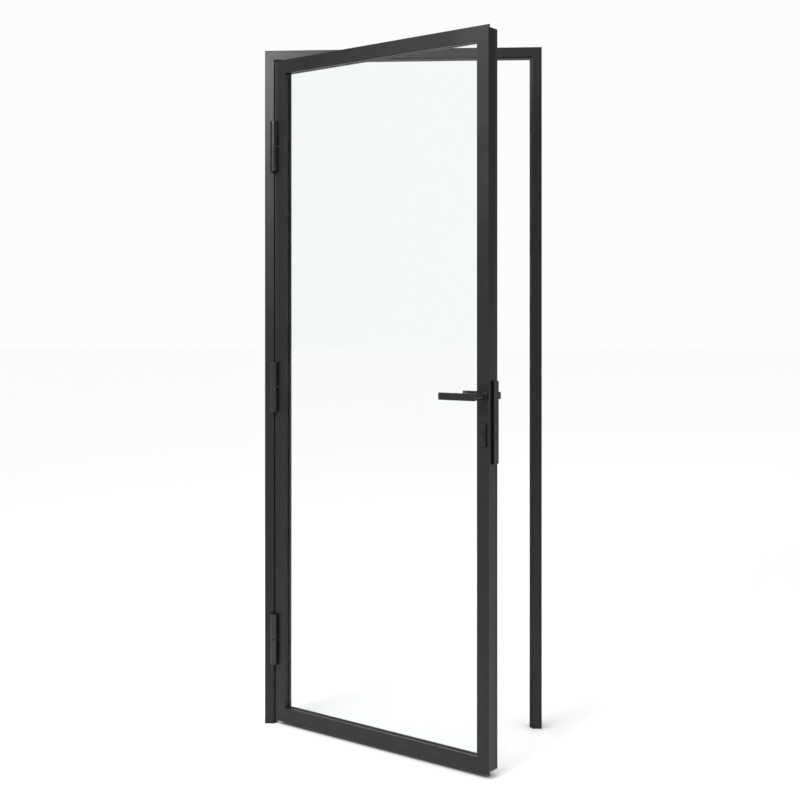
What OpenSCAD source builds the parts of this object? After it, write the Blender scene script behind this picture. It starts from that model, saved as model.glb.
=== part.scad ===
// Single-leaf glazed steel door in its own frame, hinged on the left, shown standing open.
// Origin: middle of the hinge jamb's foot, on the floor. X runs across the doorway towards
// the lock, Y runs from the hinge face to the back, Z is up. All sizes are in millimetres.

/* [Frame] */
// Overall width of the frame
frame_w = 860; // [760:10:960]
// Overall height of the frame
frame_h = 2100; // [2040:10:2300]
// Depth of the frame tubes, front to back
frame_depth = 52; // [52:1:60]
// Width of the frame's front face
frame_face = 30; // [30:1:40]
// Wall of every steel profile
wall = 2; // [1.8:0.1:2]
// Thickness of the plates welded into the jamb feet
foot_plate_t = 5;
plate_drop = 6; // [3:1:8]
// How far the door seal stands out of the frame
seal_reach = 7; // [6:0.5:7]

/* [Leaf] */
// Gap between frame and leaf on the face
seam = 3; // [3:0.5:4]
// Gap between the floor and the leaf
floor_gap = 12; // [8:1:20]
// Depth of the leaf, front to back
leaf_depth = 52; // [52:1:54]
// Front face width of the hinge stile
hinge_face = 38; // [36:1:44]
// Front face width of the lock stile
lock_face = 40; // [40:1:46]
// Front face width of the top rail
top_face = 43; // [42:1:50]
// Front face width of the bottom rail
bottom_face = 44; // [42:1:60]
// Thickness of the glass
glass_t = 8; // [6:1:8]
// Angle at which the leaf stands open
leaf_open = 34; // [0:1:110]

/* [Hinges] */
// Diameter of the hinge barrels
barrel_d = 25; // [24:0.5:25]
// Length of one hinge, both knuckles
hinge_len = 157; // [120:1:160]
// Height of the lowest hinge's middle
hinge_low = 265; // [200:5:400]
// Depth of the highest hinge's middle below the frame's top
hinge_top_drop = 300; // [200:5:400]

/* [Lock and handles] */
// Height of the lever spindle
spindle_z = 1048; // [950:1:1100]
// Distance from the spindle down to the cylinder
lock_centres = 100; // [92:1:105]
// Length of a lever from the spindle to its free end
lever_len = 110; // [105:1:135]
// Height of the lever's flat bar
lever_h = 20; // [18:1:22]
// How far the front lever stands off the door
lever_out = 58; // [45:1:65]
// How far the rear lever stands off the door
rear_lever_out = 24; // [22:1:65]
// How far the latch comes out when the door is shut
latch_throw = 8; // [6:1:8]

/* [Hidden] */
$fn = 48;

// Clearances
slack = 0.1;
run_fit = 0.05;
eps = 1;

// Frame profile
face_chamfer = 1;
leaf_chamfer = 1.2;
seal_front = 6.4;
seal_back = 13;
seal_foot = 1.6;

// Leaf profile, measured from the leaf's edge and from its front face
flange_w = 5.5;
flange_t = 6;
block_t = 11;
gasket_t = 2;
glass_front = block_t + gasket_t;
glass_back = glass_front + glass_t;
bead_front = glass_back + gasket_t;
bead_back = 32;
seal_step = 2.5;
seal_from = 40;
hinge_tube = 21;
lock_tube = 30;
rail_tube = 30;
glass_cover_hinge = 11;
glass_cover_lock = 7;
glass_cover_rail = 9;
bead_slack = 0.2;

// Leaf placed shut, in frame corner coordinates
leaf_x0 = frame_face + seam;
leaf_x1 = frame_w - frame_face - seam;
leaf_w = leaf_x1 - leaf_x0;
leaf_z0 = floor_gap;
leaf_z1 = frame_h - frame_face - seam;
leaf_h = leaf_z1 - leaf_z0;

// Hinges
barrel_r = barrel_d / 2;
axis_x = frame_face;
axis_y = -5;
notch_r = barrel_r + 0.6;
pin_r = 6;
pin_reach = 58;
washer_r = 12.2;
washer_t = 2.5;
hinge_plate_t = 4;
hinge_heights = [hinge_low, frame_h / 2, frame_h - hinge_top_drop];

// Lock, measured from the leaf's lock edge and from its front face
lock_in = 18.5;
lock_mid = 37;
axis_lx = leaf_x1 - lock_in;
plug_z = spindle_z - lock_centres;
bolt_z = plug_z + 28;
case_t = 15;
case_wall = 1.5;
case_in = 27.5;
case_z0 = plug_z - 62;
case_z1 = spindle_z + 26;
case_y0 = lock_mid - case_t / 2;
case_y1 = lock_mid + case_t / 2;
face_w = 24;
face_out = 0.8;
face_skin = 3;
face_len = 229;
face_z0 = plug_z - 87;
face_leg = 1.8;
face_screw_r = 2;
face_head_r = 4;
latch_h = 13;
latch_w = 12;
bolt_h = 18;
bolt_w = 9;
bolt_len = 24;
hub_r = 7;
square = 8;
neck_r = 9.5;
rear_neck_r = 8.5;
rosette_r = 15;
rosette_t = 5;
bar_t = 8;
plate_w = 22;
plate_h = 65;
plate_t = 5;
cyl_r = 8.5;
cyl_low_r = 5;
cyl_drop = 19.5;
cyl_front = -6;
cyl_back = leaf_depth + 12;
cam_half = 5;
cam_r = 9;
plug_r = 6.5;

// Screws
frame_fix_r = 4.25;
frame_fix_z = [250, 750, 1250, 1750];
bead_screw_r = 1.75;
bead_screw_head = 3.3;
strike_len = 220;
strike_z0 = plug_z - 70;
strike_w = 26;
strike_y = lock_mid - 2;
strike_screw_r = 2.5;
strike_head_r = 4.3;

steel_black = [0.16, 0.165, 0.17];
hinge_black = [0.12, 0.12, 0.125];
rubber_black = [0.04, 0.04, 0.045];
zinc = [0.62, 0.63, 0.64];
bright = [0.75, 0.75, 0.76];
lock_black = [0.13, 0.13, 0.135];
glass_tint = [0.86, 0.92, 0.93, 0.35];

// ---------------------------------------------------------------- placing

module in_frame() translate([-frame_face / 2, -frame_depth / 2, 0]) children();

module on_leaf()
    in_frame()
        translate([axis_x, axis_y, 0])
            rotate([0, 0, -leaf_open])
                translate([-axis_x, -axis_y, 0])
                    children();

// A shape drawn in the X-Z plane, carried from y0 to y1
module plate_y(y0, y1)
    translate([0, y1, 0]) rotate([90, 0, 0]) linear_extrude(y1 - y0) children();

// A shape drawn in the Y-Z plane, carried from x0 to x1
module bar_x(x0, x1)
    translate([x0, 0, 0]) rotate([90, 0, 90]) linear_extrude(x1 - x0) children();

module rod_x(x0, x1, r) translate([x0, 0, 0]) rotate([0, 90, 0]) cylinder(h = x1 - x0, r = r);

module rod_y(y0, y1, r) translate([0, y1, 0]) rotate([90, 0, 0]) cylinder(h = y1 - y0, r = r);

// Bar between two corners
module box(a, b) translate(a) cube(b - a);

// A turned bar with its ends chamfered
module turned(h, r, c)
    rotate_extrude() polygon([[0, 0], [r - c, 0], [r, c], [r, h - c], [r - c, h], [0, h]]);

// ---------------------------------------------------------------- frame

// Frame tube section: across from the wall side, and back from the front face
module frame_section()
    difference() {
        polygon([[0, face_chamfer], [face_chamfer, 0], [frame_face - leaf_chamfer, 0],
            [frame_face, leaf_chamfer], [frame_face, frame_depth], [0, frame_depth]]);
        translate([wall, wall]) square([frame_face - 2 * wall, frame_depth - 2 * wall]);
    }

// Everything under a mitre that falls from the frame's top corner
module under_mitre()
    plate_y(-eps, frame_depth + eps)
        polygon([[-eps, -eps], [frame_face + eps, -eps],
            [frame_face + eps, frame_h - frame_face - eps], [-eps, frame_h + eps]]);

module jamb_tube() intersection() {
    linear_extrude(frame_h) frame_section();
    under_mitre();
}

module lock_side() translate([frame_w, 0, 0]) mirror([1, 0, 0]) children();

module frame_fix_holes()
    for (z = frame_fix_z)
        translate([0, frame_depth / 2 + 8, z]) rod_x(-eps, frame_face + eps, frame_fix_r);

module hinge_notches()
    for (z = hinge_heights)
        translate([axis_x, axis_y, z - hinge_len / 2 - slack])
            cylinder(h = hinge_len + 2 * slack, r = notch_r);

module hinge_jamb() color(steel_black) in_frame() difference() {
    jamb_tube();
    hinge_notches();
    frame_fix_holes();
}

module lock_jamb() color(steel_black) in_frame() difference() {
    lock_side() jamb_tube();
    lock_side() frame_fix_holes();
    box([frame_w - frame_face - eps, strike_y - strike_w / 2 - slack, strike_z0 - slack],
        [frame_w - frame_face + wall + eps, strike_y + strike_w / 2 + slack,
            strike_z0 + strike_len + slack]);
}

module frame_head() color(steel_black) in_frame() intersection() {
    bar_x(0, frame_w) translate([0, frame_h]) mirror([0, 1]) rotate(90) mirror([0, 1])
        frame_section();
    plate_y(-eps, frame_depth + eps)
        polygon([[0, frame_h], [frame_face, frame_h - frame_face],
            [frame_face + eps, frame_h - frame_face - eps],
            [frame_w - frame_face - eps, frame_h - frame_face - eps],
            [frame_w - frame_face, frame_h - frame_face], [frame_w, frame_h]]);
}

// Plate that closes a jamb's foot and lets it stand
module foot_plate()
    box([wall, wall, 0], [frame_face - wall, frame_depth - wall, foot_plate_t]);

module hinge_foot_plate() color(steel_black) in_frame() foot_plate();

module lock_foot_plate() color(steel_black) in_frame() lock_side() foot_plate();

// Rubber seal that runs up the hinge jamb, across the head and down the lock jamb
module seal_run(x0, z0, x1, z1) box([x0, seal_front, z0], [x1, seal_back, z1]);

module frame_seal() color(rubber_black) in_frame() difference() {
    union() {
        seal_run(frame_face, seal_foot, frame_face + seal_reach, frame_h - frame_face);
        seal_run(frame_w - frame_face - seal_reach, seal_foot,
            frame_w - frame_face, frame_h - frame_face);
        seal_run(frame_face, frame_h - frame_face - seal_reach,
            frame_w - frame_face, frame_h - frame_face);
    }
    hinge_notches();
}

// ---------------------------------------------------------------- strike

// Countersunk screw driven along +X from a face at X = 0
module countersunk_screw(r, head_r, length)
    rotate([0, 90, 0]) rotate_extrude()
        polygon([[0, 0.1], [head_r - 0.1, 0.1], [r, head_r - r], [r, length], [0, length]]);

// The hole that such a screw sits in
module countersink(r, head_r, length)
    rotate([0, 90, 0]) rotate_extrude()
        polygon([[0, -eps], [head_r, -eps], [head_r, 0], [r, head_r - r], [r, length],
            [0, length]]);

strike_x = frame_w - frame_face;
pocket_h = 24;

module strike_screw_places()
    for (z = [strike_z0 + 12, strike_z0 + strike_len - 12]) translate([strike_x, strike_y, z])
        children();

module strike_plate() color(lock_black) in_frame() difference() {
    box([strike_x, strike_y - strike_w / 2, strike_z0],
        [strike_x + wall, strike_y + strike_w / 2, strike_z0 + strike_len]);
    for (z = [spindle_z, bolt_z])
        box([strike_x - eps, lock_mid - 8, z - pocket_h / 2],
            [strike_x + wall + eps, lock_mid + 8, z + pocket_h / 2]);
    strike_screw_places() countersink(strike_screw_r + slack, strike_head_r + slack, wall + eps);
}

module strike_screws() color(lock_black) in_frame() strike_screw_places()
    countersunk_screw(strike_screw_r, strike_head_r, wall + 7);

// Threaded blocks welded inside the jamb behind the strike's ends
module strike_lugs() color(zinc) in_frame() strike_screw_places() difference() {
    box([wall, -10, -20], [wall + 8, 10, 20]);
    rod_x(wall - eps, wall + 8 + eps, strike_screw_r + run_fit);
}

// ---------------------------------------------------------------- hinges

knuckle_h = (hinge_len - washer_t) / 2;

// Lower knuckle, let into the jamb and welded through its plate
module frame_knuckle(z) color(hinge_black) in_frame() translate([axis_x, axis_y, z]) difference() {
    union() {
        translate([0, 0, -hinge_len / 2]) turned(knuckle_h, barrel_r, 1);
        box([-22, -axis_y + wall, -hinge_len / 2 + 3],
            [-2, -axis_y + wall + hinge_plate_t, -washer_t / 2 - 3]);
    }
    translate([0, 0, -pin_reach]) cylinder(h = pin_reach + eps, r = pin_r + run_fit);
}

// Upper knuckle, let into the leaf and welded through its plate
module leaf_knuckle(z) color(hinge_black) on_leaf() translate([axis_x, axis_y, z]) difference() {
    union() {
        translate([0, 0, washer_t / 2]) turned(knuckle_h, barrel_r, 1);
        box([2, -axis_y + wall, washer_t / 2 + 3],
            [seam + 16, -axis_y + wall + hinge_plate_t, hinge_len / 2 - 3]);
    }
    translate([0, 0, -eps]) cylinder(h = pin_reach + 2 + eps, r = pin_r + run_fit);
}

module hinge_pin(z) color(bright) in_frame() translate([axis_x, axis_y, z - pin_reach])
    turned(2 * pin_reach, pin_r, 1);

module hinge_washer(z) color(rubber_black) in_frame()
    translate([axis_x, axis_y, z - washer_t / 2 + run_fit]) difference() {
        cylinder(h = washer_t - 2 * run_fit, r = washer_r);
        translate([0, 0, -eps]) cylinder(h = washer_t + 2 * eps, r = pin_r + slack);
    }

// ---------------------------------------------------------------- leaf profiles

// Section of a stile or rail: in from the leaf's edge, and back from its front face
module leaf_section(face, tube)
    difference() {
        polygon([[0, face_chamfer], [face_chamfer, 0], [face - leaf_chamfer, 0],
            [face, leaf_chamfer], [face, block_t], [tube, block_t], [tube, leaf_depth],
            [flange_w + seal_step, leaf_depth], [flange_w + seal_step, seal_from],
            [flange_w, seal_from], [flange_w, flange_t], [0, flange_t]]);
        polygon([[flange_w + wall, wall], [face - wall, wall], [face - wall, block_t - wall],
            [tube - wall, block_t - wall], [tube - wall, leaf_depth - wall],
            [flange_w + seal_step + wall, leaf_depth - wall],
            [flange_w + seal_step + wall, seal_from - wall], [flange_w + wall, seal_from - wall]]);
    }

// Everything between the mitres at a stile's two ends
module stile_ends(face)
    translate([0, 0, leaf_z0]) plate_y(-eps, leaf_depth + eps)
        polygon([[0, 0], [face + eps, face + eps], [face + eps, leaf_h - face - eps], [0, leaf_h]]);

// A stile standing with its edge at X = 0
module stile(face, tube) intersection() {
    translate([0, 0, leaf_z0]) linear_extrude(leaf_h) leaf_section(face, tube);
    stile_ends(face);
}

// What a rail keeps between the stiles, for one layer of its depth
module rail_layer(y0, y1, left, right)
    translate([leaf_x0, 0, 0]) plate_y(y0, y1)
        polygon([[0, 0], [left, left], [left, 90], [leaf_w - right, 90],
            [leaf_w - right, right], [leaf_w, 0]]);

// A rail lying with its edge at Z = 0 and its inner side up
module rail(face, tube) intersection() {
    bar_x(leaf_x0, leaf_x1) rotate(90) mirror([0, 1]) leaf_section(face, tube);
    union() {
        rail_layer(-eps, block_t, hinge_face, lock_face);
        rail_layer(block_t, leaf_depth + eps, hinge_tube, lock_tube);
    }
}

module at_top() translate([0, 0, leaf_z1]) mirror([0, 0, 1]) children();

module at_bottom() translate([0, 0, leaf_z0]) children();

module at_hinge_side() translate([leaf_x0, 0, 0]) children();

module at_lock_side() translate([leaf_x1, 0, 0]) mirror([1, 0, 0]) children();

module hinge_plate_slots()
    for (z = hinge_heights)
        box([axis_x, wall - slack, z + washer_t / 2 + 3 - slack],
            [leaf_x0 + flange_w + wall + eps, wall + hinge_plate_t + slack,
                z + hinge_len / 2 - 3 + slack]);

module hinge_stile() color(steel_black) on_leaf() difference() {
    at_hinge_side() stile(hinge_face, hinge_tube);
    hinge_notches();
    hinge_plate_slots();
    side_screw_places() bead_screw_hole();
}

module lock_stile() color(steel_black) on_leaf() difference() {
    at_lock_side() stile(lock_face, lock_tube);
    mirror_to_lock() side_screw_places() bead_screw_hole();
    box([case_x1 - seal_step - wall - eps, case_y0 - slack, case_z0 - slack],
        [leaf_x1 + eps, case_y1 + slack, case_z1 + slack]);
    translate([axis_lx, 0, spindle_z]) rod_y(-eps, leaf_depth + eps, neck_r - 1);
    cylinder_shape(-eps, leaf_depth + eps, 0.3);
    faceplate_screw_places() countersink(face_screw_r + slack, face_head_r + slack, 12);
}

module top_rail() color(steel_black) on_leaf() difference() {
    at_top() rail(top_face, rail_tube);
    top_screw_places() bead_screw_hole();
}

module bottom_rail() color(steel_black) on_leaf() difference() {
    at_bottom() rail(bottom_face, rail_tube);
    bottom_screw_places() bead_screw_hole();
}

// Black seal in the step round the leaf's back edge
module leaf_seal() color(rubber_black) on_leaf() difference() {
    box([leaf_x0 + flange_w, seal_from, leaf_z0 + flange_w],
        [leaf_x1 - flange_w, leaf_depth, leaf_z1 - flange_w]);
    box([leaf_x0 + flange_w + seal_step, seal_from - eps, leaf_z0 + flange_w + seal_step],
        [leaf_x1 - flange_w - seal_step, leaf_depth + eps, leaf_z1 - flange_w - seal_step]);
    box([case_x1 - seal_step - eps, seal_from - eps, case_z0 - slack],
        [case_x1 + eps, case_y1 + slack, case_z1 + slack]);
}

// ---------------------------------------------------------------- glazing

glass_x0 = leaf_x0 + hinge_face - glass_cover_hinge;
glass_x1 = leaf_x1 - lock_face + glass_cover_lock;
glass_z0 = leaf_z0 + bottom_face - glass_cover_rail;
glass_z1 = leaf_z1 - top_face + glass_cover_rail;
sight_x0 = leaf_x0 + hinge_face;
sight_x1 = leaf_x1 - lock_face;
sight_z0 = leaf_z0 + bottom_face;
sight_z1 = leaf_z1 - top_face;

module glass_pane() color(glass_tint) on_leaf()
    box([glass_x0, glass_front, glass_z0], [glass_x1, glass_back, glass_z1]);

// Glazing tape on one side of the glass, all round
module gasket_ring(y0, y1) difference() {
    box([glass_x0, y0, glass_z0], [glass_x1, y1, glass_z1]);
    box([sight_x0, y0 - eps, sight_z0], [sight_x1, y1 + eps, sight_z1]);
}

module front_gasket() color(rubber_black) on_leaf() gasket_ring(block_t, glass_front);

module rear_gasket() color(rubber_black) on_leaf() gasket_ring(glass_back, bead_front);

module setting_blocks() color(rubber_black) on_leaf()
    for (x = [leaf_x0 + leaf_w * 0.2, leaf_x0 + leaf_w * 0.8])
        box([x - 40, glass_front - 1, leaf_z0 + rail_tube], [x + 40, glass_back + 1, glass_z0]);

// Square glazing bead: across from the tube to the sight line, with its inner corner taken off
module bead_section(tube, face)
    polygon([[tube + bead_slack, bead_front], [face, bead_front], [face, bead_back - leaf_chamfer],
        [face - leaf_chamfer, bead_back], [tube + bead_slack, bead_back]]);

bead_y = (bead_front + bead_back) / 2;

// Screws along a side bead, pointing into the stile
module side_screw_places()
    for (i = [0 : 5])
        translate([sight_x0, bead_y, sight_z0 + 90 + i * (sight_z1 - sight_z0 - 180) / 5])
            mirror([1, 0, 0]) children();

module mirror_to_lock()
    translate([leaf_x0 + leaf_x1, 0, 0]) mirror([1, 0, 0])
        translate([lock_face - hinge_face, 0, 0]) children();

module top_screw_places()
    for (i = [0 : 3])
        translate([sight_x0 + 80 + i * (sight_x1 - sight_x0 - 160) / 3, bead_y, sight_z1])
            rotate([0, -90, 0]) children();

module bottom_screw_places()
    for (i = [0 : 3])
        translate([sight_x0 + 80 + i * (sight_x1 - sight_x0 - 160) / 3, bead_y, sight_z0])
            rotate([0, 90, 0]) children();

module bead_screw(length) countersunk_screw(bead_screw_r, bead_screw_head, length);

module bead_screw_hole() countersink(bead_screw_r + slack, bead_screw_head + slack, 30);

module side_bead(tube, face)
    translate([0, 0, sight_z0]) linear_extrude(sight_z1 - sight_z0) bead_section(tube, face);

module rail_bead(tube, face)
    bar_x(leaf_x0 + hinge_tube + bead_slack, leaf_x1 - lock_tube - bead_slack)
        rotate(90) mirror([0, 1]) bead_section(tube, face);

module bead_hinge_side() color(steel_black) on_leaf() difference() {
    at_hinge_side() side_bead(hinge_tube, hinge_face);
    side_screw_places() bead_screw_hole();
}

module bead_lock_side() color(steel_black) on_leaf() difference() {
    at_lock_side() side_bead(lock_tube, lock_face);
    mirror_to_lock() side_screw_places() bead_screw_hole();
}

module bead_top() color(steel_black) on_leaf() difference() {
    at_top() rail_bead(rail_tube, top_face);
    top_screw_places() bead_screw_hole();
}

module bead_bottom() color(steel_black) on_leaf() difference() {
    at_bottom() rail_bead(rail_tube, bottom_face);
    bottom_screw_places() bead_screw_hole();
}

module bead_screws() color(lock_black) on_leaf() {
    side_screw_places() bead_screw(hinge_face - hinge_tube + 5);
    mirror_to_lock() side_screw_places() bead_screw(lock_face - lock_tube + 5);
    top_screw_places() bead_screw(top_face - rail_tube + 5);
    bottom_screw_places() bead_screw(bottom_face - rail_tube + 5);
}

// ---------------------------------------------------------------- lock

// Slot-shaped outline of a profile cylinder, from y0 to y1
module cylinder_shape(y0, y1, grow) translate([axis_lx, 0, plug_z]) {
    rod_y(y0, y1, cyl_r + grow);
    box([-cyl_low_r - grow, y0, -cyl_drop], [cyl_low_r + grow, y1, 0]);
    translate([0, 0, -cyl_drop]) rod_y(y0, y1, cyl_low_r + grow);
}

case_x0 = leaf_x1 - case_in;
case_x1 = leaf_x1 - flange_w;

module lock_windows(y0, y1) {
    translate([axis_lx, 0, spindle_z]) rod_y(y0, y1, hub_r + run_fit);
    cylinder_shape(y0, y1, 0.2);
}

// Pressed steel box, open at the lock edge and closed by its cover
module lock_case() color(zinc) on_leaf() difference() {
    box([case_x0, case_y0, case_z0], [case_x1, case_y1 - case_wall, case_z1]);
    box([case_x0 + case_wall, case_y0 + case_wall, case_z0 + case_wall],
        [case_x1 + eps, case_y1 + eps, case_z1 - case_wall]);
    lock_windows(case_y0 - eps, case_y0 + case_wall + eps);
    box([case_x0 - eps, lock_mid - cam_half - 1, plug_z - cam_r - 2],
        [case_x0 + case_wall + eps, lock_mid + cam_half + 1, plug_z + cam_r + 2]);
}

module lock_cover() color(zinc) on_leaf() difference() {
    box([case_x0, case_y1 - case_wall, case_z0], [case_x1, case_y1, case_z1]);
    lock_windows(case_y1 - case_wall - eps, case_y1 + eps);
}

face_x1 = leaf_x1 + face_out;
face_y0 = lock_mid - face_w / 2;
face_y1 = lock_mid + face_w / 2;
face_z1 = face_z0 + face_len;

module faceplate_screw_places()
    for (z = [face_z0 + 9, face_z1 - 9])
        translate([face_x1, lock_mid, z]) mirror([1, 0, 0]) children();

// U-shaped faceplate that bridges the leaf's stepped edge
module lock_faceplate() color(lock_black) on_leaf() difference() {
    box([case_x1, face_y0, face_z0], [face_x1, face_y1, face_z1]);
    difference() {
        box([case_x1 - eps, face_y0 + face_leg, face_z0 - eps],
            [face_x1 - face_skin, face_y1 - face_leg, face_z1 + eps]);
        for (z = [face_z0, face_z1 - 18])
            box([case_x1 - 2 * eps, lock_mid - 6, z - eps], [face_x1, lock_mid + 6, z + 18 + eps]);
    }
    box([case_x1 - eps, lock_mid - latch_w / 2 - 0.3, spindle_z - latch_h / 2 - 0.3],
        [face_x1 + eps, lock_mid + latch_w / 2 + 0.3, spindle_z + latch_h / 2 + 0.3]);
    box([case_x1 - eps, lock_mid - bolt_w / 2 - 0.3, bolt_z - bolt_h / 2 - 0.3],
        [face_x1 + eps, lock_mid + bolt_w / 2 + 0.3, bolt_z + bolt_h / 2 + 0.3]);
    faceplate_screw_places() countersink(face_screw_r + slack, face_head_r + slack, 12);
    translate([face_x1, lock_mid, plug_z - 14]) rod_x(-12, eps, 3.4);
}

// Countersunk screws that pull the faceplate onto the stile
module faceplate_screws() color(lock_black) on_leaf() faceplate_screw_places()
    countersunk_screw(face_screw_r, face_head_r, 11);

module cylinder_body() color(bright) on_leaf() difference() {
    cylinder_shape(cyl_front, cyl_back, 0);
    translate([axis_lx, 0, plug_z]) {
        rod_y(cyl_front - eps, cyl_back + eps, plug_r + run_fit);
        box([-cyl_r - eps, lock_mid - cam_half - 0.3, -cam_r - 0.5],
            [cyl_r + eps, lock_mid + cam_half + 0.3, cyl_r + eps]);
    }
    translate([face_x1, lock_mid, plug_z - 14]) rod_x(-40, eps, 2.5 + run_fit);
}

// Long screw from the faceplate into the cylinder
module cylinder_screw() color(lock_black) on_leaf() translate([face_x1, lock_mid, plug_z - 14])
    union() {
        rod_x(-2.8, -0.4, 3.2);
        rod_x(-22, -2.7, 2.5);
    }

module plug(y0, y1, slot_y0, slot_y1) translate([axis_lx, 0, plug_z]) difference() {
    rod_y(y0, y1, plug_r);
    box([-1, slot_y0, -4.5], [1, slot_y1, 4.5]);
}

module front_plug() color(bright) on_leaf()
    plug(cyl_front, lock_mid - cam_half - 0.2, cyl_front - eps, cyl_front + 24);

module rear_plug() color(bright) on_leaf()
    plug(lock_mid + cam_half + 0.2, cyl_back, cyl_back - 20, cyl_back + eps);

// Short cam between the two plugs
module cylinder_cam() color(zinc) on_leaf() translate([axis_lx, 0, plug_z]) intersection() {
    union() {
        rod_y(lock_mid - cam_half, lock_mid + cam_half, plug_r);
        box([-3, lock_mid - cam_half, -cam_r], [3, lock_mid + cam_half, 0]);
    }
    rod_y(lock_mid - cam_half - eps, lock_mid + cam_half + eps, cam_r);
}

// Rectangle with round corners, centred
module rounded(w, h, r) {
    square([w - 2 * r, h], center = true);
    square([w, h - 2 * r], center = true);
    for (x = [-1, 1], y = [-1, 1]) translate([x * (w / 2 - r), y * (h / 2 - r)]) circle(r);
}

module escutcheon(y0, y1) difference() {
    translate([axis_lx, 0, plug_z - plate_drop]) plate_y(y0, y1) rounded(plate_w, plate_h, 1.5);
    cylinder_shape(y0 - eps, y1 + eps, 0.3);
}

module front_escutcheon() color(lock_black) on_leaf() escutcheon(-plate_t, 0);

module rear_escutcheon() color(lock_black) on_leaf()
    escutcheon(leaf_depth, leaf_depth + plate_t);

// ---------------------------------------------------------------- levers and latch

module rosette() difference() {
    rotate([90, 0, 0]) rotate_extrude($fn = 72)
        polygon([[0, 0], [rosette_r, 0], [rosette_r, rosette_t - 0.8],
            [rosette_r - 0.8, rosette_t], [0, rosette_t]]);
    rod_y(-rosette_t - eps, eps, hub_r + 1);
}

module at_spindle() translate([axis_lx, 0, spindle_z]) children();

module to_rear() translate([0, leaf_depth, 0]) mirror([0, 1, 0]) children();

module front_rosette() color(lock_black) on_leaf() at_spindle() rosette();

module rear_rosette() color(lock_black) on_leaf() at_spindle() to_rear() rosette();

module spindle_socket(y0, y1)
    box([-square / 2 - run_fit, y0, -square / 2 - run_fit],
        [square / 2 + run_fit, y1, square / 2 + run_fit]);

// Round neck that meets a flat bar at a square corner, with a spigot that runs in the rosette
module lever(out, neck, reach) difference() {
    union() {
        rod_y(-rosette_t - 0.3, 0, hub_r + 1 - run_fit);
        rod_y(-out + bar_t / 2, -rosette_t - 0.3, neck);
        plate_y(-out, -out + bar_t)
            polygon([[-reach, 1 - lever_h / 2], [1 - reach, -lever_h / 2],
                [neck, -lever_h / 2], [neck, lever_h / 2], [1 - reach, lever_h / 2],
                [-reach, lever_h / 2 - 1]]);
    }
    spindle_socket(-out + bar_t + 1, eps);
    translate([0, grub_y, -20]) cylinder(h = 20, r = grub_r + run_fit);
}

grub_y = -rosette_t - 5;
grub_r = 2.5;
rear_reach = lever_len + 4;

module front_lever() color(lock_black) on_leaf() at_spindle() lever(lever_out, neck_r, lever_len);

module rear_lever() color(lock_black) on_leaf() at_spindle() to_rear()
    lever(rear_lever_out, rear_neck_r, rear_reach);

module grub_screw(neck) translate([0, grub_y, -neck + 0.6]) difference() {
    cylinder(h = neck - square / 2 - 0.7, r = grub_r);
    translate([0, 0, -eps]) cylinder(h = 2.5 + eps, r = 1.4, $fn = 6);
}

module lever_grub_screws() color(bright) on_leaf() at_spindle() {
    grub_screw(neck_r);
    to_rear() grub_screw(rear_neck_r);
}

module spindle() color(zinc) on_leaf() at_spindle()
    box([-square / 2, -lever_out + bar_t + 2, -square / 2],
        [square / 2, leaf_depth + rear_lever_out - bar_t - 2, square / 2]);

follower_lean = 20;
arm_r = 13;
arm_half = 1.5;

// Hub on the spindle with the arm that draws the latch back when the door is shut
module follower() color(zinc) on_leaf() at_spindle() difference() {
    union() {
        rod_y(case_y0, case_y1, hub_r);
        rotate([0, follower_lean, 0])
            box([-arm_half, lock_mid - 3, 0], [arm_half, lock_mid + 3, arm_r]);
    }
    spindle_socket(case_y0 - eps, case_y1 + eps);
}

tab_in = lock_in - 1.9;
tab_t = 1.2;
latch_back = lock_in - hub_r - latch_throw - 0.3;
latch_riser = 2.5;

// Magnetic latch, flush until the door is shut: a head in the faceplate, a bar over the hub
// and a tab for the arm
module latch_bolt() color(lock_black) on_leaf()
    translate([leaf_x1 - latch_throw, lock_mid, spindle_z]) {
        translate([0, 0, -latch_h / 2]) linear_extrude(latch_h)
            polygon([[-latch_back, -latch_w / 2], [face_out + latch_throw - 1, -latch_w / 2],
                [face_out + latch_throw, 1 - latch_w / 2],
                [face_out + latch_throw, latch_w / 2 - 1],
                [face_out + latch_throw - 1, latch_w / 2], [-latch_back, latch_w / 2]]);
        box([-latch_riser - 1.9, -4, 4], [-latch_riser, 4, 19]);
        box([-tab_in - tab_t, -4, 15], [-latch_riser, 4, 19]);
        box([-tab_in - tab_t, -4, 10], [-tab_in, 4, 19]);
    }

// Square bolt thrown by the key
module dead_bolt() color(lock_black) on_leaf()
    box([face_x1 - bolt_len, lock_mid - bolt_w / 2, bolt_z - bolt_h / 2],
        [face_x1, lock_mid + bolt_w / 2, bolt_z + bolt_h / 2]);

// ---------------------------------------------------------------- nodes

hinge_jamb();
lock_jamb();
frame_head();
hinge_foot_plate();
lock_foot_plate();
frame_seal();
strike_plate();
strike_screws();
strike_lugs();
frame_knuckle(hinge_heights[0]);  // frame_knuckle_low
frame_knuckle(hinge_heights[1]);  // frame_knuckle_mid
frame_knuckle(hinge_heights[2]);  // frame_knuckle_top
hinge_pin(hinge_heights[0]);  // hinge_pin_low
hinge_pin(hinge_heights[1]);  // hinge_pin_mid
hinge_pin(hinge_heights[2]);  // hinge_pin_top
hinge_washer(hinge_heights[0]);  // hinge_washer_low
hinge_washer(hinge_heights[1]);  // hinge_washer_mid
hinge_washer(hinge_heights[2]);  // hinge_washer_top
hinge_stile();
lock_stile();
top_rail();
bottom_rail();
leaf_knuckle(hinge_heights[0]);  // leaf_knuckle_low
leaf_knuckle(hinge_heights[1]);  // leaf_knuckle_mid
leaf_knuckle(hinge_heights[2]);  // leaf_knuckle_top
glass_pane();
front_gasket();
rear_gasket();
setting_blocks();
bead_hinge_side();
bead_lock_side();
bead_top();
bead_bottom();
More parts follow.
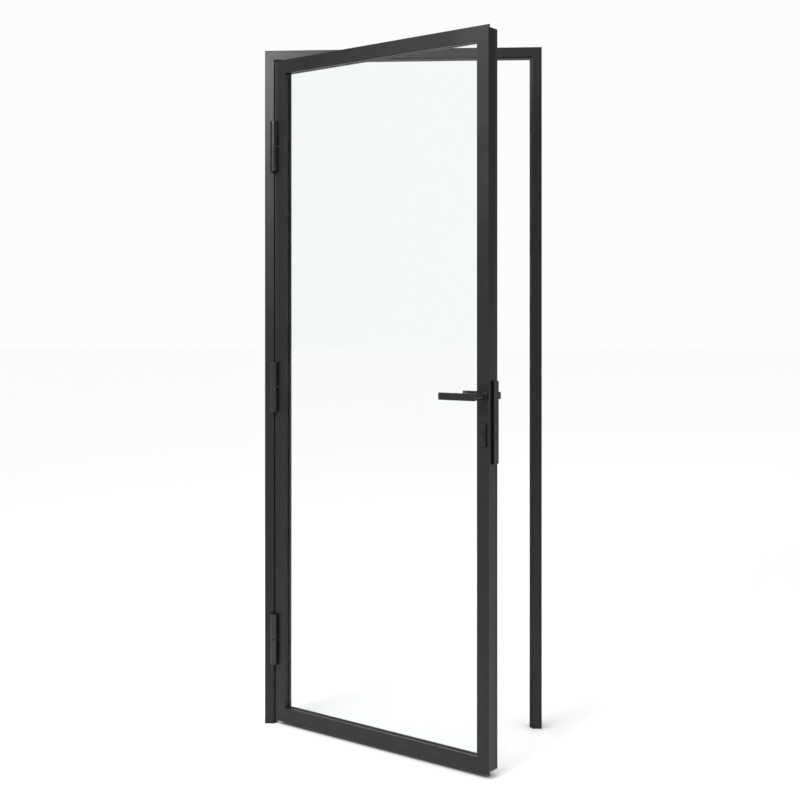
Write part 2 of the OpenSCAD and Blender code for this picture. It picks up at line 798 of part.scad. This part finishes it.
bead_screws();
leaf_seal();
lock_case();
lock_cover();
lock_faceplate();
faceplate_screws();
cylinder_body();
cylinder_screw();
front_rosette();
rear_rosette();
front_escutcheon();
rear_escutcheon();
front_lever();
rear_lever();
spindle();
follower();
lever_grub_screws();
latch_bolt();
dead_bolt();
front_plug();
rear_plug();
cylinder_cam();
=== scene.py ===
import math

import bmesh
import bpy
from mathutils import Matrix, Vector


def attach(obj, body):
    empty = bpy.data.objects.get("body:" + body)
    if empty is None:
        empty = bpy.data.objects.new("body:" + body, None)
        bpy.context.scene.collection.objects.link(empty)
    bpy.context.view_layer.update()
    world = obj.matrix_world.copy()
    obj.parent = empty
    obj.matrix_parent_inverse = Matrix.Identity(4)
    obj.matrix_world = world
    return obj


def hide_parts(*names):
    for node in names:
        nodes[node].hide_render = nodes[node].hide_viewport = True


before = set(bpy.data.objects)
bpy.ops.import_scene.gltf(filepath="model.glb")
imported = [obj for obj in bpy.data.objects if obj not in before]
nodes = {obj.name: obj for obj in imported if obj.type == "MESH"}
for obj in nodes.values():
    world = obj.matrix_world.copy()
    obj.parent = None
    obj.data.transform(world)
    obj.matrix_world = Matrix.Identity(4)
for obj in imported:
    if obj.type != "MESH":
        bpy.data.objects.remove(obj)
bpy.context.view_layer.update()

# ---------------------------------------------------------------- frame tubes
# The hinge jamb, lock jamb and head are one run of 30 x 52 mm steel tube, mitred at the top
# corners, welded and coated black. The coat is a satin powder with a fine orange peel, and
# it is a little duller and dustier near the floor.


def satin_coat(name, colour, roughness, grain, dust, shine=0.36):
    """Powder coat: fine orange peel, cloudy gloss and a little dust low down."""
    material = bpy.data.materials.new(name)
    material.use_nodes = True
    tree = material.node_tree
    shader = tree.nodes["Principled BSDF"]
    shader.inputs["Metallic"].default_value = 0.0
    shader.inputs["IOR"].default_value = 1.5
    shader.inputs["Specular IOR Level"].default_value = shine
    place = tree.nodes.new("ShaderNodeTexCoord")

    peel = tree.nodes.new("ShaderNodeTexNoise")
    peel.inputs["Scale"].default_value = 900.0
    peel.inputs["Detail"].default_value = 3.0
    tree.links.new(place.outputs["Object"], peel.inputs["Vector"])
    wave = tree.nodes.new("ShaderNodeTexNoise")
    wave.inputs["Scale"].default_value = 55.0
    wave.inputs["Detail"].default_value = 2.0
    tree.links.new(place.outputs["Object"], wave.inputs["Vector"])
    fine = tree.nodes.new("ShaderNodeBump")
    fine.inputs["Strength"].default_value = grain
    fine.inputs["Distance"].default_value = 0.0002
    tree.links.new(peel.outputs["Fac"], fine.inputs["Height"])
    broad = tree.nodes.new("ShaderNodeBump")
    broad.inputs["Strength"].default_value = 0.12
    broad.inputs["Distance"].default_value = 0.0006
    tree.links.new(wave.outputs["Fac"], broad.inputs["Height"])
    tree.links.new(fine.outputs["Normal"], broad.inputs["Normal"])
    tree.links.new(broad.outputs["Normal"], shader.inputs["Normal"])

    cloud = tree.nodes.new("ShaderNodeTexNoise")
    cloud.inputs["Scale"].default_value = 6.0
    cloud.inputs["Detail"].default_value = 6.0
    cloud.inputs["Roughness"].default_value = 0.62
    tree.links.new(place.outputs["Object"], cloud.inputs["Vector"])
    gloss = tree.nodes.new("ShaderNodeMapRange")
    gloss.inputs["From Min"].default_value = 0.3
    gloss.inputs["From Max"].default_value = 0.7
    gloss.inputs["To Min"].default_value = roughness - 0.05
    gloss.inputs["To Max"].default_value = roughness + 0.06
    tree.links.new(cloud.outputs["Fac"], gloss.inputs["Value"])
    tree.links.new(gloss.outputs["Result"], shader.inputs["Roughness"])

    height = tree.nodes.new("ShaderNodeSeparateXYZ")
    tree.links.new(place.outputs["Object"], height.inputs["Vector"])
    low = tree.nodes.new("ShaderNodeMapRange")
    low.inputs["From Min"].default_value = 0.0
    low.inputs["From Max"].default_value = 0.22
    low.inputs["To Min"].default_value = dust
    low.inputs["To Max"].default_value = 0.0
    tree.links.new(height.outputs["Z"], low.inputs["Value"])
    speck = tree.nodes.new("ShaderNodeMath")
    speck.operation = "MULTIPLY"
    tree.links.new(low.outputs["Result"], speck.inputs[0])
    tree.links.new(cloud.outputs["Fac"], speck.inputs[1])
    tint = tree.nodes.new("ShaderNodeMix")
    tint.data_type = "RGBA"
    tint.inputs["A"].default_value = (*colour, 1.0)
    tint.inputs["B"].default_value = (0.20, 0.19, 0.175, 1.0)
    tree.links.new(speck.outputs["Value"], tint.inputs["Factor"])
    tree.links.new(tint.outputs["Result"], shader.inputs["Base Color"])
    return material


def paint(piece, material):
    """Give a piece one finish on all its faces."""
    piece.data.materials.clear()
    piece.data.materials.append(material)


def eased(name, node, radius, steps=2, longest_only=0.0):
    """A piece of the CAD part's own shape, with its sharp edges eased as real ones are."""
    mesh = nodes[node].data.copy()
    mesh.name = name
    work = bmesh.new()
    work.from_mesh(mesh)
    bmesh.ops.remove_doubles(work, verts=work.verts, dist=2e-6)
    bmesh.ops.dissolve_limit(work, angle_limit=0.004, verts=work.verts, edges=work.edges)
    least_turn = 0.5
    sharp = [
        edge for edge in work.edges
        if edge.is_manifold and edge.calc_face_angle(0.0) > least_turn
        and edge.calc_length() >= longest_only
    ]
    bmesh.ops.bevel(
        work, geom=sharp, offset=radius, offset_type="OFFSET", segments=steps, profile=0.5,
        affect="EDGES", clamp_overlap=True,
    )
    bmesh.ops.triangulate(work, faces=[face for face in work.faces if len(face.verts) > 4])
    work.to_mesh(mesh)
    work.free()
    for face in mesh.polygons:
        face.use_smooth = True
    mesh.set_sharp_from_angle(angle=math.radians(32.0))
    piece = bpy.data.objects.new(name, mesh)
    bpy.context.scene.collection.objects.link(piece)
    level_flats = piece.modifiers.new("level flats", "WEIGHTED_NORMAL")
    level_flats.weight = 100
    level_flats.keep_sharp = True
    level_flats.use_face_influence = False
    bpy.context.view_layer.update()
    seen = piece.evaluated_get(bpy.context.evaluated_depsgraph_get())
    piece.data = bpy.data.meshes.new_from_object(seen)
    piece.modifiers.clear()
    return piece


def stand_for(piece, node, material, body):
    """Finish a piece and body, and let it stand for its CAD node."""
    paint(piece, material)
    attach(piece, body)
    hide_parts(node)


frame_black = satin_coat("frame black powder coat", (0.0050, 0.0052, 0.0056), 0.36, 0.25, 0.03)
for tube in ("hinge_jamb", "lock_jamb", "frame_head"):
    stand_for(eased(tube + "_tube", tube, 0.0007, longest_only=0.02), tube, frame_black,
              "frame")

# ---------------------------------------------------------------- jamb feet
# A 5 mm steel plate is welded into the foot of each jamb and coated with it. Only its
# underside and the weld line show.

for foot in ("hinge_foot_plate", "lock_foot_plate"):
    paint(nodes[foot], frame_black)

# ---------------------------------------------------------------- door seal
# Black extruded rubber, pressed into the opening on both jambs and under the head. It is
# matt, with the fine lengthwise lines that the die leaves.


def moulded_rubber(name, colour, roughness, stretch):
    """Matt black rubber with fine lines left by the die."""
    material = bpy.data.materials.new(name)
    material.use_nodes = True
    tree = material.node_tree
    shader = tree.nodes["Principled BSDF"]
    shader.inputs["Base Color"].default_value = (*colour, 1.0)
    place = tree.nodes.new("ShaderNodeTexCoord")
    stretched = tree.nodes.new("ShaderNodeMapping")
    stretched.inputs["Scale"].default_value = stretch
    tree.links.new(place.outputs["Object"], stretched.inputs["Vector"])
    lines = tree.nodes.new("ShaderNodeTexNoise")
    lines.inputs["Scale"].default_value = 1.0
    lines.inputs["Detail"].default_value = 3.0
    tree.links.new(stretched.outputs["Vector"], lines.inputs["Vector"])
    bump = tree.nodes.new("ShaderNodeBump")
    bump.inputs["Strength"].default_value = 0.25
    bump.inputs["Distance"].default_value = 0.0002
    tree.links.new(lines.outputs["Fac"], bump.inputs["Height"])
    tree.links.new(bump.outputs["Normal"], shader.inputs["Normal"])
    dull = tree.nodes.new("ShaderNodeMapRange")
    dull.inputs["To Min"].default_value = roughness - 0.08
    dull.inputs["To Max"].default_value = roughness + 0.08
    tree.links.new(lines.outputs["Fac"], dull.inputs["Value"])
    tree.links.new(dull.outputs["Result"], shader.inputs["Roughness"])
    return material


seal_rubber = moulded_rubber("black seal rubber", (0.012, 0.012, 0.013), 0.62, (700, 700, 12))
stand_for(eased("door_seal", "frame_seal", 0.0014, steps=3, longest_only=0.004), "frame_seal",
          seal_rubber, "frame")

# ---------------------------------------------------------------- strike
# A 2 mm steel plate let flush into the lock jamb, coated black, with a pocket each for the
# latch and the dead bolt. Two countersunk screws hold it to threaded blocks inside the jamb.

fitting_black = satin_coat("fitting black coat", (0.0065, 0.0065, 0.007), 0.33, 0.14, 0.0)
stand_for(eased("strike", "strike_plate", 0.0003, longest_only=0.003), "strike_plate",
          fitting_black, "frame")
paint(nodes["strike_screws"], fitting_black)


def plain_metal(name, colour, roughness, stretch, depth):
    """Bare or plated metal with fine tool lines."""
    material = bpy.data.materials.new(name)
    material.use_nodes = True
    tree = material.node_tree
    shader = tree.nodes["Principled BSDF"]
    shader.inputs["Base Color"].default_value = (*colour, 1.0)
    shader.inputs["Metallic"].default_value = 1.0
    place = tree.nodes.new("ShaderNodeTexCoord")
    stretched = tree.nodes.new("ShaderNodeMapping")
    stretched.inputs["Scale"].default_value = stretch
    tree.links.new(place.outputs["Object"], stretched.inputs["Vector"])
    lines = tree.nodes.new("ShaderNodeTexNoise")
    lines.inputs["Scale"].default_value = 1.0
    lines.inputs["Detail"].default_value = 4.0
    tree.links.new(stretched.outputs["Vector"], lines.inputs["Vector"])
    bump = tree.nodes.new("ShaderNodeBump")
    bump.inputs["Strength"].default_value = depth
    bump.inputs["Distance"].default_value = 0.0001
    tree.links.new(lines.outputs["Fac"], bump.inputs["Height"])
    tree.links.new(bump.outputs["Normal"], shader.inputs["Normal"])
    worn = tree.nodes.new("ShaderNodeMapRange")
    worn.inputs["To Min"].default_value = roughness - 0.09
    worn.inputs["To Max"].default_value = roughness + 0.12
    tree.links.new(lines.outputs["Fac"], worn.inputs["Value"])
    tree.links.new(worn.outputs["Result"], shader.inputs["Roughness"])
    return material


zinc_plate = plain_metal("zinc plate", (0.50, 0.51, 0.52), 0.42, (260, 260, 260), 0.3)
paint(nodes["strike_lugs"], zinc_plate)

# ---------------------------------------------------------------- hinges
# Three pairs of turned steel knuckles, 25 mm across, let into the corners of frame and leaf
# and welded from inside. Each turns on a hardened pin and a thin black washer.

hinge_black = satin_coat("hinge black paint", (0.007, 0.007, 0.0075), 0.20, 0.08, 0.0, shine=0.5)
pin_steel = plain_metal("ground pin steel", (0.60, 0.60, 0.61), 0.24, (90, 90, 1500), 0.3)
for level in ("low", "mid", "top"):
    stand_for(eased("lower_knuckle_" + level, "frame_knuckle_" + level, 0.0006, steps=3),
              "frame_knuckle_" + level, hinge_black, "frame")
    stand_for(eased("upper_knuckle_" + level, "leaf_knuckle_" + level, 0.0006, steps=3),
              "leaf_knuckle_" + level, hinge_black, "leaf")
    paint(nodes["hinge_pin_" + level], pin_steel)
    paint(nodes["hinge_washer_" + level], seal_rubber)

# ---------------------------------------------------------------- leaf profiles
# Two stiles and two rails folded from 2 mm steel, mitred, welded and ground flush before
# coating, so no mitre shows. The front lip holds the glass and laps over the frame.

leaf_black = satin_coat("leaf black powder coat", (0.0050, 0.0052, 0.0056), 0.37, 0.25, 0.03)
for profile in ("hinge_stile", "lock_stile", "top_rail", "bottom_rail"):
    stand_for(eased(profile + "_profile", profile, 0.0007, longest_only=0.09), profile,
              leaf_black, "leaf")

# ---------------------------------------------------------------- leaf seal
# A second black rubber seal, laid in the step round the leaf's back edge.

stand_for(eased("back_edge_seal", "leaf_seal", 0.0006, longest_only=0.05), "leaf_seal",
          seal_rubber, "leaf")

# ---------------------------------------------------------------- glass
# One clear 8 mm toughened pane with polished edges, faintly green in its depth. It stands on
# two rubber blocks between strips of black glazing tape.


def clear_glass():
    """Clear float glass with a faint green body and slight smears on its surface."""
    material = bpy.data.materials.new("clear glass")
    material.use_nodes = True
    tree = material.node_tree
    shader = tree.nodes["Principled BSDF"]
    shader.inputs["Base Color"].default_value = (0.965, 0.985, 0.975, 1.0)
    shader.inputs["Transmission Weight"].default_value = 1.0
    shader.inputs["IOR"].default_value = 1.45
    place = tree.nodes.new("ShaderNodeTexCoord")
    smear = tree.nodes.new("ShaderNodeTexNoise")
    smear.inputs["Scale"].default_value = 3.5
    smear.inputs["Detail"].default_value = 7.0
    tree.links.new(place.outputs["Object"], smear.inputs["Vector"])
    film = tree.nodes.new("ShaderNodeMapRange")
    film.inputs["From Min"].default_value = 0.5
    film.inputs["From Max"].default_value = 0.9
    film.inputs["To Min"].default_value = 0.0
    film.inputs["To Max"].default_value = 0.03
    tree.links.new(smear.outputs["Fac"], film.inputs["Value"])
    tree.links.new(film.outputs["Result"], shader.inputs["Roughness"])
    return material


paint(nodes["glass_pane"], clear_glass())
tape = moulded_rubber("glazing tape", (0.014, 0.014, 0.015), 0.55, (300, 300, 40))
for strip in ("front_gasket", "rear_gasket", "setting_blocks"):
    paint(nodes[strip], tape)

# ---------------------------------------------------------------- glazing beads
# Four square steel beads behind the glass, cut to length and butted at the corners, coated
# with the leaf. Small countersunk screws hold them to the profiles.

for bead in ("bead_hinge_side", "bead_lock_side", "bead_top", "bead_bottom"):
    stand_for(eased(bead + "_bar", bead, 0.0004, longest_only=0.05), bead, leaf_black,
              "leaf")
paint(nodes["bead_screws"], fitting_black)

# ---------------------------------------------------------------- lock
# A mortise lock in a plated steel case inside the lock stile. Its black faceplate bridges the
# stepped edge of the leaf. A profile cylinder goes right through, held by one long screw.

for part in ("lock_case", "lock_cover"):
    paint(nodes[part], zinc_plate)
stand_for(eased("faceplate", "lock_faceplate", 0.0004, longest_only=0.004), "lock_faceplate",
          fitting_black, "leaf")
for part in ("faceplate_screws", "cylinder_screw"):
    paint(nodes[part], fitting_black)
cylinder_black = satin_coat("cylinder black finish", (0.006, 0.006, 0.0063), 0.26, 0.06, 0.0)
stand_for(eased("cylinder_housing", "cylinder_body", 0.0003, longest_only=0.002),
          "cylinder_body", cylinder_black, "leaf")
paint(nodes["cylinder_cam"], zinc_plate)
for part in ("front_plug", "rear_plug"):
    stand_for(eased(part + "_core", part, 0.0002), part, cylinder_black, "plug")
stand_for(eased("latch", "latch_bolt", 0.0004, longest_only=0.003), "latch_bolt",
          cylinder_black, "latch")
stand_for(eased("square_bolt", "dead_bolt", 0.0006), "dead_bolt", cylinder_black,
          "bolt")

# ---------------------------------------------------------------- handle set
# Cast levers in a soft black coat, each a flat bar on a round neck, turning in a round
# rosette. Both sit on one square spindle and are held by grub screws from below.

for side in ("front", "rear"):
    stand_for(eased(side + "_rose", side + "_rosette", 0.0005, steps=3), side + "_rosette",
              fitting_black, "leaf")
    stand_for(eased(side + "_cylinder_plate", side + "_escutcheon", 0.0008, steps=3,
                    longest_only=0.001), side + "_escutcheon", fitting_black, "leaf")
    stand_for(eased(side + "_handle", side + "_lever", 0.0012, steps=3, longest_only=0.001),
              side + "_lever", fitting_black, "handle")
for part in ("spindle", "follower"):
    paint(nodes[part], zinc_plate)
grub_nickel = plain_metal("satin nickel", (0.60, 0.59, 0.56), 0.30, (900, 60, 900), 0.35)
paint(nodes["lever_grub_screws"], grub_nickel)

# ---------------------------------------------------------------- floor and light
# A plain pale floor that runs out of sight, an even pale surround, one soft panel in front
# at the upper left, and broad light from overhead.

floor_mesh = bpy.data.meshes.new("studio_floor")
floor_half = 60.0
floor_mesh.from_pydata(
    [(-floor_half, -floor_half, 0.0), (floor_half, -floor_half, 0.0),
     (floor_half, floor_half, 0.0), (-floor_half, floor_half, 0.0)],
    [], [(0, 1, 2, 3)],
)
floor = bpy.data.objects.new("studio_floor", floor_mesh)
bpy.context.scene.collection.objects.link(floor)
floor_paint = bpy.data.materials.new("pale floor")
floor_paint.use_nodes = True
floor_shader = floor_paint.node_tree.nodes["Principled BSDF"]
floor_shader.inputs["Base Color"].default_value = (0.94, 0.94, 0.94, 1.0)
floor_shader.inputs["Roughness"].default_value = 0.9
floor_shader.inputs["Specular IOR Level"].default_value = 0.1
paint(floor, floor_paint)

world = bpy.data.worlds.new("pale surround")
world.use_nodes = True
surround = world.node_tree.nodes["Background"]
surround.inputs["Color"].default_value = (0.99, 0.992, 1.0, 1.0)
seen_or_lit = world.node_tree.nodes.new("ShaderNodeLightPath")
plain_sight = world.node_tree.nodes.new("ShaderNodeMath")
plain_sight.operation = "MAXIMUM"
world.node_tree.links.new(seen_or_lit.outputs["Is Camera Ray"], plain_sight.inputs[0])
world.node_tree.links.new(seen_or_lit.outputs["Is Transmission Ray"], plain_sight.inputs[1])
brightness = world.node_tree.nodes.new("ShaderNodeMapRange")
light_it_gives = 0.31
light_it_shows = 0.985
brightness.inputs["To Min"].default_value = light_it_gives
brightness.inputs["To Max"].default_value = light_it_shows
world.node_tree.links.new(plain_sight.outputs["Value"], brightness.inputs["Value"])
world.node_tree.links.new(brightness.outputs["Result"], surround.inputs["Strength"])
bpy.context.scene.world = world
bpy.context.scene.view_settings.view_transform = "Standard"


def soft_panel(name, place, aim, width, height, watts):
    """A large soft light aimed at a point."""
    lamp = bpy.data.lights.new(name, "AREA")
    lamp.shape = "RECTANGLE"
    lamp.size = width
    lamp.size_y = height
    lamp.energy = watts
    lamp.spread = math.radians(90.0)
    panel = bpy.data.objects.new(name, lamp)
    panel.location = place
    panel.rotation_euler = (Vector(aim) - Vector(place)).to_track_quat("-Z", "Y").to_euler()
    bpy.context.scene.collection.objects.link(panel)


soft_panel("upper left panel", (-1.35, -2.75, 3.1), (0.1, -0.1, 1.9), 1.5, 1.2, 46.0)
overhead = bpy.data.lights.new("overhead light", "SUN")
overhead.energy = 2.36
overhead.angle = math.radians(110.0)
overhead_place = bpy.data.objects.new("overhead light", overhead)
overhead_place.rotation_euler = (math.radians(8.0), math.radians(-6.0), 0.0)
bpy.context.scene.collection.objects.link(overhead_place)

# ---------------------------------------------------------------- camera
# Eye height a little above the lever, almost square to the frame, with the view slid down so
# that upright edges stay upright.

camera = bpy.data.cameras.new("camera")
camera.lens = 56.354
camera.sensor_width = 36.0
camera.shift_y = -0.09515
camera.clip_end = 200.0
eye = bpy.data.objects.new("camera", camera)
eye.location = (0.6510, -3.9014, 1.2471)
eye.rotation_euler = (math.radians(90.0), 0.0, math.radians(3.594))
bpy.context.scene.collection.objects.link(eye)
bpy.context.scene.camera = eye
